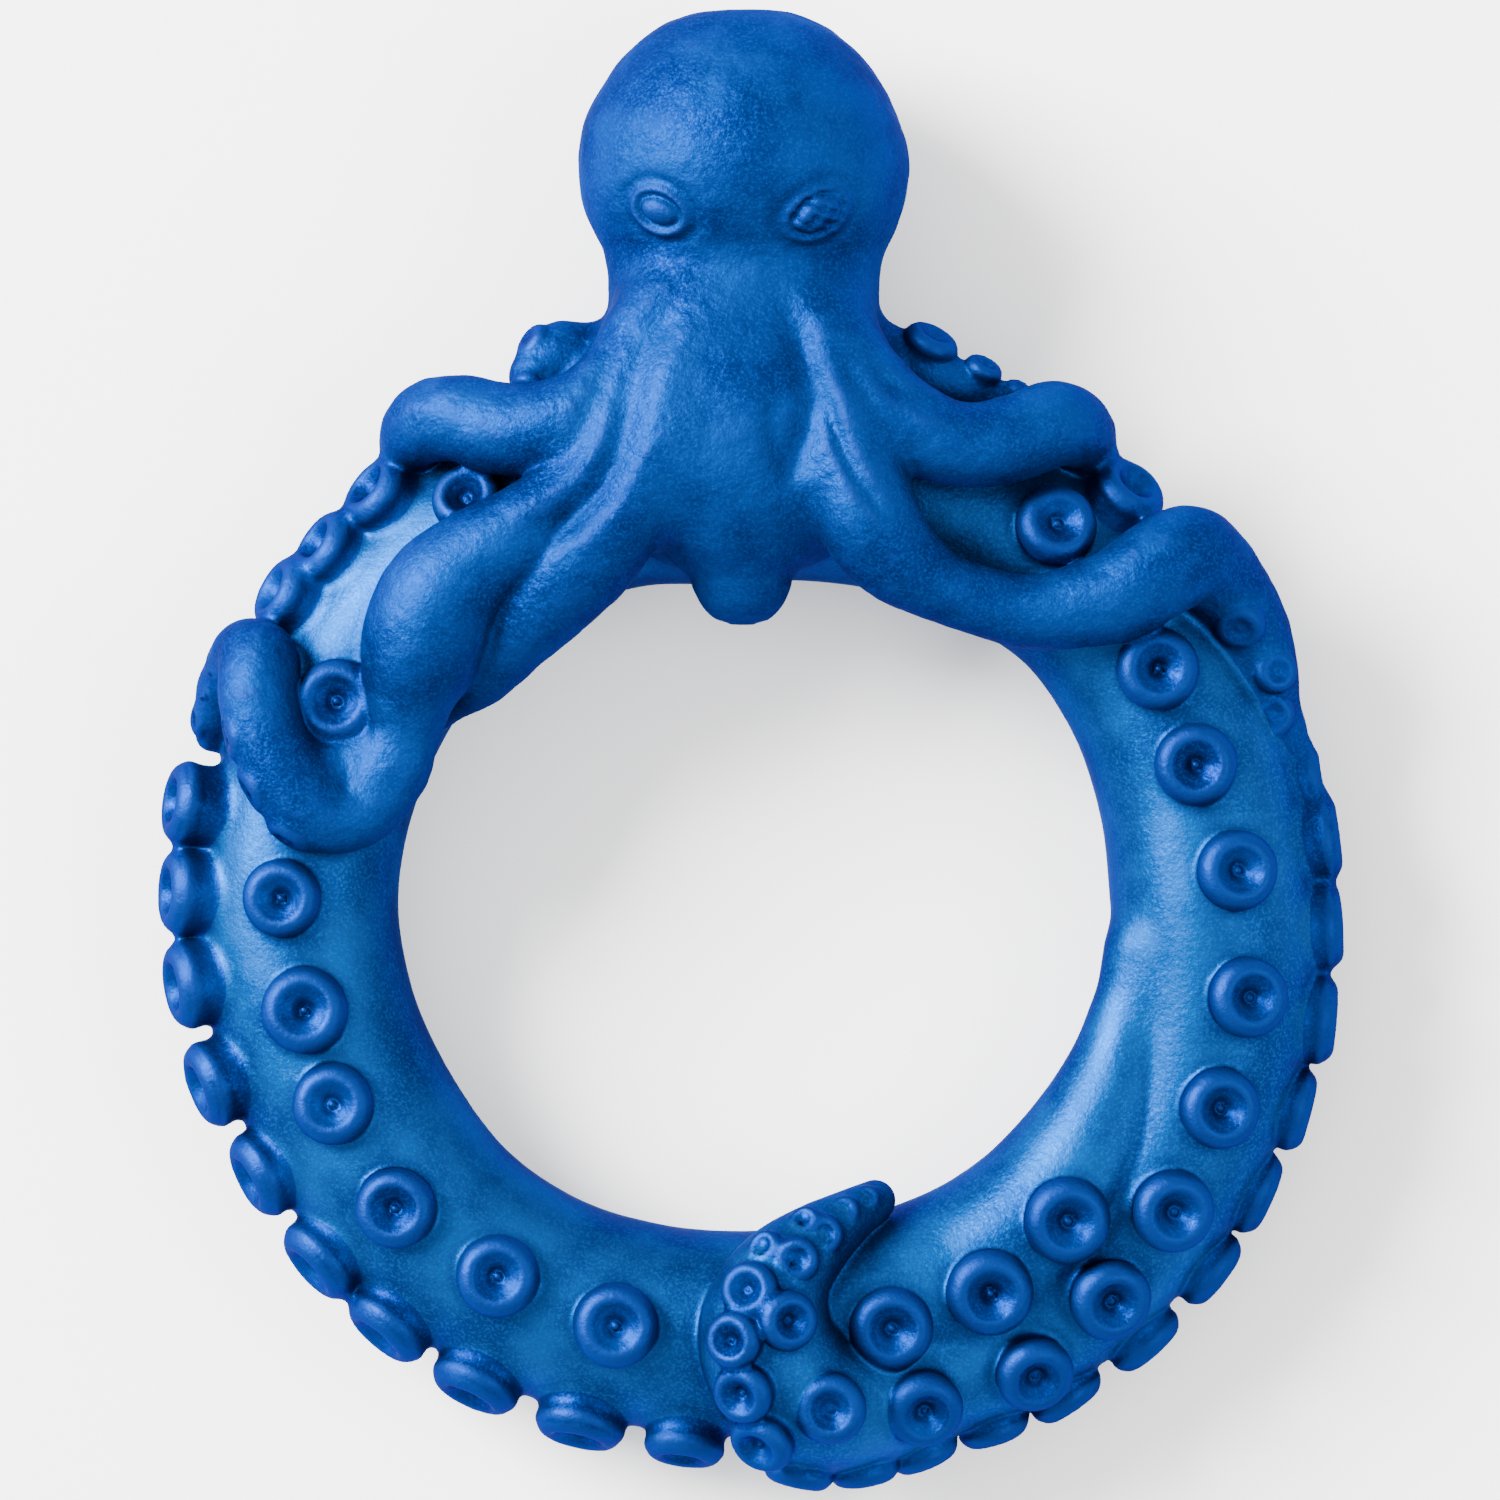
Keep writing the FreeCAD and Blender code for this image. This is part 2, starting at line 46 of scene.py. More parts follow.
# Ellipses along y: y, half width, centre z, half depth, centre x. The mantle runs from the neck to the crown.
MANTLE = [
    (30.6, 6.78, 7.8, 5.5, -0.55),
    (31.6, 6.84, 7.8, 5.65, -0.55),
    (32.6, 7.06, 7.8, 6.0, -0.52),
    (33.6, 7.55, 7.85, 6.5, -0.52),
    (34.8, 8.0, 7.9, 7.05, -0.56),
    (36.2, 8.23, 7.9, 7.45, -0.58),
    (37.6, 8.23, 7.9, 7.55, -0.58),
    (39.0, 7.94, 7.9, 7.4, -0.64),
    (40.3, 7.37, 7.9, 6.95, -0.65),
    (41.5, 6.67, 7.9, 6.25, -0.65),
    (42.5, 5.86, 7.9, 5.45, -0.65),
    (43.3, 4.99, 7.9, 4.6, -0.65),
    (43.95, 4.06, 7.9, 3.75, -0.65),
    (44.4, 3.06, 7.9, 2.85, -0.68),
    (44.68, 2.06, 7.9, 1.95, -0.7),
    (44.74, 1.11, 7.9, 1.1, -0.7),
]
# The body skirt, from the neck down over the ring.
SKIRT = [
    (30.6, 6.78, 7.8, 5.5, -0.55),
    (29.0, 6.75, 7.8, 5.6, -0.55),
    (27.0, 7.2, 7.8, 6.0, -0.75),
    (24.5, 7.8, 7.7, 6.5, -1.1),
    (22.0, 7.9, 7.7, 6.6, -1.2),
    (19.8, 6.9, 8.2, 5.6, -1.1),
    (18.2, 5.2, 8.8, 4.1, -0.8),
    (17.2, 3.5, 9.2, 2.8, -0.7),
    (16.6, 1.9, 9.3, 1.6, -0.7),
    (16.3, 0.8, 9.3, 0.7, -0.7),
]
# The front of the skirt, down to the lobe that hangs into the opening.
BIB = [
    (33.2, 1.9, 7.6, 2.2, -0.6),
    (32.0, 3.1, 7.9, 3.4, -0.62),
    (30.6, 4.05, 8.5, 4.1, -0.68),
    (28.5, 4.7, 9.3, 4.5, -0.9),
    (26.0, 5.3, 10.1, 4.9, -1.2),
    (23.5, 5.7, 10.4, 5.0, -1.4),
    (21.0, 5.6, 10.4, 4.8, -1.4),
    (19.2, 4.9, 10.3, 4.2, -1.2),
    (17.8, 3.7, 10.2, 3.4, -0.85),
    (16.8, 2.75, 10.1, 2.6, -0.7),
    (15.8, 2.45, 9.9, 2.15, -0.66),
    (14.9, 2.0, 9.8, 1.65, -0.66),
    (14.3, 1.35, 9.7, 1.05, -0.66),
    (14.02, 0.6, 9.7, 0.5, -0.66),
]
# Tentacles, along their centrelines: x, y, z, radius.
RING_LEFT = [
    (-1.84, 21, 4.7, 4.85),
    (-6.75, 20.85, 4.75, 5.0),
    (-12.05, 19.24, 4.8, 5.1),
    (-16.42, 15.81, 4.8, 5.1),
    (-19.73, 11.34, 4.85, 5.05),
    (-22.06, 5.86, 4.85, 5),
    (-22.94, -0.05, 4.85, 5),
    (-22.06, -5.96, 4.9, 5.11),
    (-19.63, -11.36, 4.9, 5.17),
    (-15.97, -16.02, 4.9, 5.05),
    (-11.14, -19.35, 4.9, 5.05),
    (-5.65, -21.13, 4.95, 5.1),
    (0, -21.57, 5, 5.15),
    (5.55, -20.75, 4.85, 5),
    (10.12, -19.07, 4.6, 4.75),
    (13.74, -16.41, 5.1, 4.3),
    (16.47, -12.91, 5.5, 3.7),
    (18.23, -8.92, 5.9, 2.85),
    (18.96, -5.46, 6.2, 2.15),
    (19.12, -2.71, 6.4, 1.55),
]
RING_RIGHT = [
    (-1.84, 21, 4.7, 4.85),
    (2.96, 21.15, 4.75, 4.9),
    (8.18, 20.4, 4.8, 4.95),
    (12.95, 18.4, 4.75, 4.9),
    (17.15, 15.4, 4.75, 4.85),
    (20.35, 10.78, 4.8, 4.88),
    (22.26, 5.5, 4.85, 5),
    (22.94, -0.05, 4.9, 5.05),
    (23.09, -4.12, 4.8, 4.95),
    (22.51, -8.25, 4.6, 4.75),
    (21.11, -12.24, 4.4, 4.55),
    (18.87, -15.89, 4.2, 4.35),
    (15.94, -19.05, 4.05, 4.2),
    (12.44, -21.61, 4.2, 4),
    (8.83, -23.04, 5.2, 3.85),
    (5.16, -24.41, 7, 3.8),
    (2.55, -24.41, 8.7, 3.7),
    (0.85, -22.54, 9.8, 3.45),
    (0.5, -20.52, 10.3, 3.1),
    (1.24, -18.44, 10.2, 2.5),
    (2.84, -16.83, 9.4, 1.9),
    (4.6, -15.59, 8.2, 1.35),
    (6.0, -14.82, 7.05, 1.05),
]
ARM_LEFT_REAR = [
    (-7.35, 26.95, 8.0, 1.8),
    (-8.64, 27.23, 8.4, 1.85),
    (-9.74, 27.32, 8.8, 1.8),
    (-10.48, 26.95, 9.2, 1.45),
    (-11.07, 26.3, 9.5, 1.2),
    (-10.91, 25.74, 9.8, 0.8),
    (-10.41, 25.77, 10.2, 0.5),
]
ARM_LEFT_UPPER = [
    (-5.7, 28.31, 12.6, 1.78),
    (-7.09, 25.84, 12.5, 2.03),
    (-8.83, 24.36, 12.2, 2.23),
    (-10.82, 23.63, 11.7, 2.38),
    (-12.87, 23.75, 11.1, 2.29),
    (-14.63, 24.22, 10.4, 2.19),
    (-16.05, 24.2, 9.5, 2.09),
    (-16.94, 23.74, 8.3, 1.8),
    (-17.39, 23.13, 6.9, 1.45),
    (-17.58, 22.42, 5.6, 1.11),
    (-17.72, 21.74, 4.6, 0.86),
]
ARM_LEFT_LOWER = [
    (-4.95, 28.78, 13.2, 1.48),
    (-6.29, 25.81, 13.3, 1.68),
    (-7.57, 23.09, 13.2, 1.83),
    (-9.36, 20.62, 13.0, 2.03),
    (-11.6, 18.65, 12.6, 2.28),
    (-13.84, 17.07, 12.2, 2.68),
    (-15.59, 15.34, 11.8, 3.08),
    (-16.49, 13.16, 11.3, 3.08),
    (-17.1, 10.83, 10.9, 2.29),
    (-17.46, 8.74, 10.6, 1.84),
    (-17.97, 6.8, 10.4, 1.79),
    (-19.01, 5.21, 10.4, 1.74),
    (-20.6, 4.42, 10.6, 1.84),
    (-22.22, 5.02, 10.9, 2.04),
    (-23.41, 6.66, 11.1, 2.04),
    (-24.25, 8.5, 11.1, 1.94),
    (-24.72, 10.39, 10.8, 1.99),
    (-24.73, 12.08, 10.0, 1.99),
    (-25.35, 12.49, 8.6, 1.8),
    (-26.02, 11.76, 7.2, 1.55),
    (-26.62, 10.61, 6.2, 1.35),
    (-27.07, 9.46, 5.4, 1.11),
    (-27.35, 8.45, 4.8, 0.81),
]
ARM_LEFT_INNER = [
    (-2.73, 28.55, 12.9, 1.68),
    (-3.96, 25.33, 13.0, 2.08),
    (-5.3, 22.5, 13.0, 2.43),
    (-6.74, 19.93, 12.8, 2.67),
    (-8.28, 17.72, 12.3, 2.73),
    (-10.08, 15.69, 11.7, 2.48),
    (-11.59, 13.96, 10.9, 2.14),
    (-12.8, 12.48, 10.0, 1.79),
    (-13.82, 11.24, 9.0, 1.4),
    (-14.75, 10.35, 8.0, 1.0),
    (-15.48, 9.65, 7.0, 0.7),
]
ARM_RIGHT_REAR = [
    (6.66, 27.38, 7.2, 1.55),
    (7.76, 26.97, 7.4, 1.55),
    (9.16, 26.37, 7.5, 1.45),
    (10.56, 25.82, 7.4, 1.25),
    (11.77, 25.53, 7.2, 0.95),
    (12.88, 25.24, 6.9, 0.7),
]
ARM_RIGHT_UPPER = [
    (4.11, 28.67, 12.4, 1.78),
    (5.35, 26.34, 12.4, 1.98),
    (6.94, 24.51, 12.2, 2.08),
    (8.93, 23.28, 11.9, 2.13),
    (11.07, 22.9, 11.4, 2.14),
    (13.18, 23.36, 10.8, 2.14),
    (14.79, 23.94, 10.0, 2.14),
    (15.82, 23.82, 8.8, 1.95),
    (16.42, 23.27, 7.4, 1.65),
    (16.82, 22.51, 6.0, 1.25),
    (17.1, 21.83, 5.0, 0.85),
]
ARM_RIGHT_LOWER = [
    (2.97, 28.29, 13.2, 1.48),
    (4.1, 25.07, 13.4, 1.78),
    (4.8, 22.35, 13.3, 2.03),
    (5.44, 19.63, 13.1, 2.52),
    (6.83, 17.46, 12.7, 2.28),
    (8.93, 15.98, 12.1, 1.79),
    (11.42, 15.05, 11.6, 1.74),
    (14.16, 14.61, 11.2, 1.89),
    (17.65, 15.31, 10.9, 2.29),
    (19.74, 16.5, 10.7, 2.49),
    (21.51, 17.46, 10.0, 2.49),
    (22.82, 16.74, 8.7, 2.25),
    (23.97, 15.31, 7.5, 2.1),
    (24.86, 13.61, 6.7, 2.01),
    (25.34, 11.87, 6.1, 1.91),
    (25.68, 10.01, 5.5, 1.76),
    (26.0, 8.5, 5.0, 1.76),
    (26.52, 7.1, 4.7, 1.31),
    (26.88, 6.24, 4.5, 0.86),
]
# Suckers: base x, y, z, the way they face, radius, height.
CUPS_LEFT_FACE = [
    (-14.13, 19.83, 9.16, -0.206, 0.394, 0.896, 1.75, 1.9),
    (-20.77, 10.12, 9.83, -0.067, 0.076, 0.995, 2.1, 1.5),
    (-23.5, 0.39, 9.81, -0.115, -0.03, 0.993, 1.95, 1.35),
    (-22.4, -5.22, 9.94, -0.036, 0.034, 0.999, 2.15, 1.4),
    (-20.96, -9.88, 9.94, -0.082, -0.005, 0.997, 2, 1.35),
    (-17.83, -15.03, 9.91, -0.122, -0.053, 0.991, 2, 1.35),
    (-12.79, -18.45, 9.94, -0.023, 0.012, 1, 2.05, 1.4),
    (-6.91, -20.9, 10.03, -0.028, -0.004, 1, 2.1, 1.4),
]
CUPS_INNER_END = [
    (6.79, -20.97, 9.72, 0.049, -0.098, 0.994, 2.05, 1.5),
    (11.67, -19.19, 9.25, 0.079, -0.176, 0.981, 2.15, 1.5),
    (15.5, -15.62, 9.28, 0.137, -0.13, 0.982, 2.15, 1.5),
]
CUPS_LEFT_EDGE = [
    (-17.85, 19.75, 6.73, -0.72, 0.56, 0.41, 1.9, 2.35),
    (-20.53, 17.23, 6.63, -0.779, 0.499, 0.379, 1.9, 2.1),
    (-22.59, 14.99, 6.58, -0.832, 0.421, 0.361, 1.9, 2.1),
    (-27.1, 4.88, 6.26, -0.945, 0.145, 0.292, 2.03, 2.4),
    (-27.54, 0.6, 6.26, -0.956, 0.033, 0.292, 2.08, 2.15),
    (-27.27, -3.81, 6.29, -0.943, -0.16, 0.292, 2.13, 2.15),
    (-26.13, -8.55, 6.33, -0.895, -0.337, 0.292, 2.13, 2.15),
    (-24.08, -13.14, 6.33, -0.85, -0.439, 0.292, 2.13, 1.75),
    (-21.18, -17.3, 6.32, -0.72, -0.629, 0.292, 2.18, 1.78),
    (-17.89, -20.52, 6.32, -0.622, -0.726, 0.292, 2.18, 1.78),
    (-13.64, -23.3, 6.32, -0.425, -0.857, 0.292, 2.18, 1.78),
    (-8.57, -25.26, 6.37, -0.215, -0.932, 0.292, 2.18, 1.78),
    (-3.43, -26.22, 6.44, -0.122, -0.949, 0.292, 1.93, 1.78),
]
CUPS_RIGHT_FACE = [
    (14.95, 18.84, 9.6, 0.164, 0.271, 0.949, 2, 1.3),
    (20.03, 11.79, 9.84, 0.069, 0.022, 0.997, 2.05, 1.3),
    (21.92, 7.03, 9.84, 0.025, -0.018, 1, 2.05, 1.4),
    (23.9, 1.73, 9.82, 0.215, 0.042, 0.976, 2, 1.4),
    (24.43, -4.57, 9.52, 0.277, -0.008, 0.961, 2, 1.5),
    (23.06, -10.09, 9.07, 0.216, -0.047, 0.975, 2, 1.5),
    (20.74, -15.16, 8.56, 0.2, -0.152, 0.968, 2.05, 1.6),
    (17.61, -19.56, 8.02, 0.245, -0.258, 0.935, 2.05, 1.6),
    (13.81, -23.15, 7.62, 0.253, -0.434, 0.865, 1.95, 1.6),
    (8.32, -24.89, 9.2, 0.161, -0.362, 0.918, 1.95, 1.5),
]
CUPS_RIGHT_EDGE = [
    (18.4, 20.28, 7.58, 0.529, 0.651, 0.545, 1.8, 1.4),
    (27.35, 6.3, 4.9, 0.985, 0.17, 0.0, 1.35, 1.15),
    (27.71, 3.25, 4.88, 0.993, 0.118, 0, 2.05, 1.7),
    (28.07, -1.12, 4.88, 0.999, 0.052, 0, 2.1, 1.47),
    (27.88, -5.75, 4.75, 0.997, -0.081, 0, 2.15, 1.35),
    (26.85, -10.25, 4.56, 0.968, -0.252, 0, 2.05, 1.15),
    (25.06, -14.47, 4.22, 0.912, -0.408, -0.035, 2.05, 1.03),
    (22.61, -18.16, 3.91, 0.798, -0.599, -0.07, 1.95, 1.25),
    (19.36, -21.63, 3.69, 0.659, -0.747, -0.087, 1.95, 1.25),
    (15.48, -24.45, 3.69, 0.576, -0.811, -0.105, 1.9, 1.15),
    (11.92, -26.06, 4.05, 0.324, -0.936, -0.139, 1.75, 1.05),
    (8.42, -27.3, 5.52, 0.388, -0.911, -0.139, 1.7, 0.95),
    (5.45, -28.18, 6.65, 0.157, -0.978, -0.139, 1.7, 0.85),
    (2.22, -28.19, 8.07, -0.208, -0.974, -0.087, 1.7, 0.85),
]
CUPS_TIP = [
    (3.75, -24.89, 11.65, 0.006, -0.073, 0.997, 1.75, 1.3),
    (1.51, -20.45, 13.2, 0.324, -0.045, 0.945, 1.5, 1.1),
    (2.09, -17.5, 11.92, -0.011, 0.035, 0.999, 1.1, 0.85),
    (3.45, -16.29, 10.62, -0.033, -0.003, 0.999, 0.95, 0.7),
    (0.53, -26.34, 11.43, -0.438, -0.597, 0.672, 1.65, 1.2),
    (-0.39, -23.95, 12.65, -0.42, -0.284, 0.862, 1.55, 1.2),
    (-0.88, -21.42, 13.13, -0.421, -0.025, 0.907, 1.45, 1.1),
    (-0.17, -19.04, 12.96, -0.328, 0.152, 0.932, 1.45, 1),
    (0.7, -17.05, 11.55, -0.52, 0.33, 0.79, 0.88, 0.75),
    (2.57, -15.78, 10.68, -0.318, 0.445, 0.837, 0.8, 0.6),
    (4.56, -15.21, 9.34, -0.159, 0.175, 0.972, 0.7, 0.5),
    (5.71, -14.63, 8.15, -0.152, 0.237, 0.96, 0.55, 0.45),
]
CUPS_ARMS_LEFT = [
    (-11.15, 28.19, 9.46, -0.755, 0.553, 0.352, 0.95, 0.3),
    (-11.34, 25.79, 10.52, -0.301, -0.201, 0.932, 0.7, 0.35),
    (-23.14, 3.47, 11.27, -0.501, -0.842, 0.2, 1.3, 0.35),
    (-24.98, 5.78, 11.47, -0.856, -0.478, 0.199, 1.25, 0.35),
    (-25.98, 8.34, 11.47, -0.954, -0.201, 0.221, 1.15, 0.3),
    (-26.84, 12.33, 8.05, -0.881, 0.25, 0.401, 1.05, 0.25),
    (-27.41, 10.94, 6.79, -0.902, 0.1, 0.421, 0.9, 0.25),
    (-27.93, 9.21, 5.6, -0.916, -0.05, 0.398, 0.75, 0.3),
]
CUPS_ARMS_RIGHT = [
    (8.76, 27.99, 7.99, 0.421, 0.823, 0.381, 1.4, 0.75),
    (11.33, 26.65, 7.8, 0.461, 0.802, 0.381, 0.98, 0.65),
    (13.16, 25.78, 7.15, 0.421, 0.823, 0.381, 0.62, 0.4),
    (24.21, 13.97, 8.96, -0.101, -0.554, 0.826, 1.25, 0.45),
    (26.08, 11.69, 7.78, 0.301, 0.0, 0.954, 1.1, 0.4),
    (25.95, 9.51, 7.07, 0.101, -0.101, 0.99, 1.1, 0.4),
]

NECK_Y = 30.6
BODY = SKIRT[::-1] + MANTLE[1:]  # one loft from the hem of the skirt to the crown

# Grooves pressed into the front of the skirt: points (x, y), half width, depth.
GROOVES = [
    ([(-5.0, 30.3), (-6.29, 28.64), (-7.08, 27.46), (-7.68, 25.52), (-8.52, 23.3), (-9.36, 21.91), (-10.65, 21.12), (-12.38, 20.43)], 0.85, 0.42),
    ([(-3.3, 30.6), (-4.71, 28.64), (-5.65, 27.21), (-6.14, 25.57), (-6.5, 23.59), (-7.0, 21.91), (-7.93, 20.28), (-9.66, 18.94), (-11.89, 18.1)], 0.95, 0.62),
    ([(1.3, 30.4), (2.0, 28.6), (2.55, 26.8), (2.85, 25.08), (2.5, 23.59), (1.7, 22.1), (1.5, 20.9), (2.2, 19.6)], 0.9, 0.5),
    ([(1.0, 26.1), (0.9, 24.6), (0.95, 23.0), (1.3, 21.6)], 0.6, 0.18),
    ([(3.4, 26.6), (3.7, 24.8), (4.1, 23.2), (4.9, 21.4), (6.0, 19.8), (7.2, 18.4)], 0.4, 0.3),
    ([(3.9, 28.4), (4.8, 26.17), (5.99, 24.48), (6.83, 23.05)], 0.7, 0.3),
    ([(5.2, 27.6), (6.2, 26.2), (7.42, 25.3), (9.2, 24.7), (11.0, 24.6)], 0.5, 0.25),
]

# ---- grid ---------------------------------------------------------------------------------------------------------
H = 0.17
LO = np.array([-31.0, -31.0, -0.85])
HI = np.array([31.0, 46.2, 18.3])
N = np.ceil((HI - LO) / H).astype(int) + 1
AX = [(LO[i] + H * np.arange(N[i])).astype(np.float32) for i in range(3)]
PAD = 2.6
FAR = 8.0


def window(lo, hi, pad=PAD):
    i0 = np.maximum(np.floor((np.asarray(lo) - pad - LO) / H).astype(int), 0)
    i1 = np.minimum(np.ceil((np.asarray(hi) + pad - LO) / H).astype(int) + 1, N)
    return tuple(slice(int(a), int(b)) for a, b in zip(i0, i1))


def axes_of(win):
    return AX[0][win[0]][:, None, None], AX[1][win[1]][None, :, None], AX[2][win[2]][None, None, :]


def inside(win, outer):
    return tuple(slice(w.start - o.start, w.stop - o.start) for w, o in zip(win, outer))


def blank(win):
    return np.full(tuple(w.stop - w.start for w in win), FAR, np.float32)


def smin(a, b, k):
    h = np.maximum(k - np.abs(a - b), 0.0) / k
    return np.minimum(a, b) - h * h * (0.25 * k)


def smax(a, b, k):
    h = np.maximum(k - np.abs(a - b), 0.0) / k
    return np.maximum(a, b) + h * h * (0.25 * k)


def step(a, b, x):
    t = np.clip((x - a) / (b - a), 0.0, 1.0)
    return t * t * (3 - 2 * t)


def dense(path, n):
    rows = np.array(path, float)
    ext = np.vstack([2 * rows[0] - rows[1], rows, 2 * rows[-1] - rows[-2]])
    out = []
    for s in range(len(rows) - 1):
        p0, p1, p2, p3 = ext[s : s + 4]
        for j in range(n):
            t = j / n
            out.append(0.5 * (2 * p1 + (p2 - p0) * t + (2 * p0 - 5 * p1 + 4 * p2 - p3) * t * t + (3 * p1 - p0 - 3 * p2 + p3) * t**3))
    out.append(rows[-1])
    return np.array(out)


def tube(path, n=6):
    """Distance to a tapered tentacle: (window, field)."""
    rows = dense(path, n)
    win = window((rows[:, :3] - rows[:, 3:]).min(0), (rows[:, :3] + rows[:, 3:]).max(0), PAD + 0.8)
    out = blank(win)
    for a, b in zip(rows[:-1], rows[1:]):
        r = max(a[3], b[3])
        sub = window(np.minimum(a[:3], b[:3]) - r, np.maximum(a[:3], b[:3]) + r)
        x, y, z = axes_of(sub)
        d = (b - a).astype(np.float32)
        x, y, z = x - np.float32(a[0]), y - np.float32(a[1]), z - np.float32(a[2])
        t = np.clip((x * d[0] + y * d[1] + z * d[2]) / max(float(d[0] ** 2 + d[1] ** 2 + d[2] ** 2), 1e-9), 0.0, 1.0)
        dist = np.sqrt((x - t * d[0]) ** 2 + (y - t * d[1]) ** 2 + (z - t * d[2]) ** 2) - (np.float32(a[3]) + t * d[3])
        rel = inside(sub, win)
        np.minimum(out[rel], dist, out=out[rel])
    return win, out


def evened(d):
    """d scaled so that it falls off at no more than one to one."""
    g = np.gradient(d, H)
    return (d / np.maximum(np.sqrt(g[0] ** 2 + g[1] ** 2 + g[2] ** 2), 1.0)).astype(np.float32)


def loft(rows):
    """Distance to a stack of ellipses along y."""
    t = np.array(sorted(rows), float)
    y0, y1 = t[0, 0], t[-1, 0]
    lo = ((t[:, 4] - t[:, 1]).min(), y0, (t[:, 2] - t[:, 3]).min())
    hi = ((t[:, 4] + t[:, 1]).max(), y1, (t[:, 2] + t[:, 3]).max())
    win = window(lo, hi)
    x, y, z = axes_of(win)
    fine = dense(t, 8)
    v = [np.interp(y.ravel(), fine[:, 0], fine[:, i]).astype(np.float32)[None, :, None] for i in (1, 2, 3, 4)]
    u, w = (x - v[3]) / v[0], (z - v[1]) / v[2]
    rho = np.sqrt(u * u + w * w) + 1e-6
    g = np.sqrt((u / v[0]) ** 2 + (w / v[2]) ** 2) / rho
    d = (rho - 1) / g
    return win, evened(np.maximum(d, np.maximum(y0 - y, y - y1)))


def ellipsoid(c, r, turn=None):
    """Distance to an ellipsoid; turn is a 3x3 whose rows are its own axes."""
    c, r = np.array(c, float), np.array(r, float)
    reach = r if turn is None else np.full(3, r.max())
    win = window(c - reach, c + reach)
    x, y, z = (a - np.float32(m) for a, m in zip(axes_of(win), c))
    if turn is not None:
        x, y, z = (x * t[0] + y * t[1] + z * t[2] for t in np.asarray(turn, np.float32))
    k0 = np.sqrt((x / r[0]) ** 2 + (y / r[1]) ** 2 + (z / r[2]) ** 2) + 1e-6
    k1 = np.sqrt((x / r[0] ** 2) ** 2 + (y / r[1] ** 2) ** 2 + (z / r[2] ** 2) ** 2) + 1e-6
    return win, (k0 * (k0 - 1) / k1).astype(np.float32)


def frame_on(n, along=(1.0, 0.0, 0.0)):
    """Rows: two tangents and the normal."""
    n = np.array(n, float) / np.linalg.norm(n)
    a = np.array(along, float)
    a = a - n * a.dot(n)
    a /= np.linalg.norm(a)
    return np.array([a, np.cross(n, a), n])


def local(win, c, turn):
    x, y, z = (a - np.float32(m) for a, m in zip(axes_of(win), c))
    return [x * t[0] + y * t[1] + z * t[2] for t in np.asarray(turn, np.float32)]


def sucker(bx, by, bz, nx, ny, nz, r, h, flat=0.0):
    """Distance to one sucker: a fat rounded rim on a stem, a soft funnel, and a small pit with a bead in it."""
    n = np.array([nx, ny, nz]) / math.sqrt(nx * nx + ny * ny + nz * nz)
    base = np.array([bx, by, bz])
    top = base + n * h
    win = window(np.minimum(base, top) - r, np.maximum(base, top) + r, 1.3)
    u, v, w = local(win, base, frame_on(n, (1.0, 0.0, 0.0) if abs(n[0]) < 0.9 else (0.0, 1.0, 0.0)))
    rho = np.sqrt(u * u + v * v)
    a = (0.43 - 0.06 * flat) * r
    rim = np.sqrt((rho - (r - a)) ** 2 + ((w - (h - 0.92 * a)) / 0.92) ** 2) - a
    qx, qz = rho - (0.9 + 0.1 * flat) * r, np.abs(w - 0.5 * (h - a) + 0.4) - (0.5 * (h - a) + 0.4)
    stem = np.minimum(np.maximum(qx, qz), 0) + np.sqrt(np.maximum(qx, 0) ** 2 + np.maximum(qz, 0) ** 2)
    d = smin(rim, stem, 0.22 * r)
    deep = 0.36 * min(h, r)
    funnel = np.sqrt((rho / (0.5 * r)) ** 2 + ((w - h) / deep) ** 2) - 1
    d = smax(d, -funnel * 0.45 * r, 0.26 * r)
    pit = np.sqrt(rho**2 + ((w - h + 0.95 * deep) * 0.9) ** 2) - 0.2 * r
    d = smax(d, -pit, 0.14 * r)
    bead = np.sqrt(rho**2 + (w - h + 1.35 * deep) ** 2) - 0.11 * r
    return win, smin(d, bead, 0.1 * r).astype(np.float32)


# ---- the distance field -------------------------------------------------------------------------------------------
F = np.full(tuple(N), FAR, np.float32)  # everything fused
BEST = np.full(tuple(N), FAR, np.float32)  # distance to the nearest member
NEXT = np.full(tuple(N), FAR, np.float32)  # distance to the next nearest
WHO = np.zeros(tuple(N), np.uint8)
OWN = {}  # member: (window, its own field)
NAMES = []


def member(name, win, d):
    """Adds a member's own field, which decides how the fused shape is shared out."""
    if name in OWN:
        w0, d0 = OWN[name]
        w1 = tuple(slice(min(a.start, b.start), max(a.stop, b.stop)) for a, b in zip(w0, win))
        new = blank(w1)
        new[inside(w0, w1)] = d0
        rel = inside(win, w1)
        new[rel] = np.minimum(new[rel], d)
        OWN[name] = (w1, new)
    else:
        OWN[name] = (win, d)
        NAMES.append(name)


def share_out():
    for i, name in enumerate(NAMES):
        win, d = OWN[name]
        b, s, w = BEST[win], NEXT[win], WHO[win]
        NEXT[win] = np.minimum(s, np.maximum(b, d))
        WHO[win] = np.where(d < b, i, w)
        BEST[win] = np.minimum(b, d)


def fuse(target, win, d, k):
    target[win] = smin(target[win], d, k)


A = tube(RING_LEFT, 8)
B = tube(RING_RIGHT, 8)
member("ring_tentacle_left", *A)
member("ring_tentacle_right", *B)
fuse(F, *A, 0.3)
# the left tentacle's end flows into the right one; further down a crease runs between them
x, y, z = axes_of(B[0])
flow = 0.35 + 1.6 * np.exp(-(((x - 19.0) / 3.5) ** 2) - ((y + 1.5) / 4.5) ** 2) + 0.0 * z
fuse(F, *B, flow.astype(np.float32))

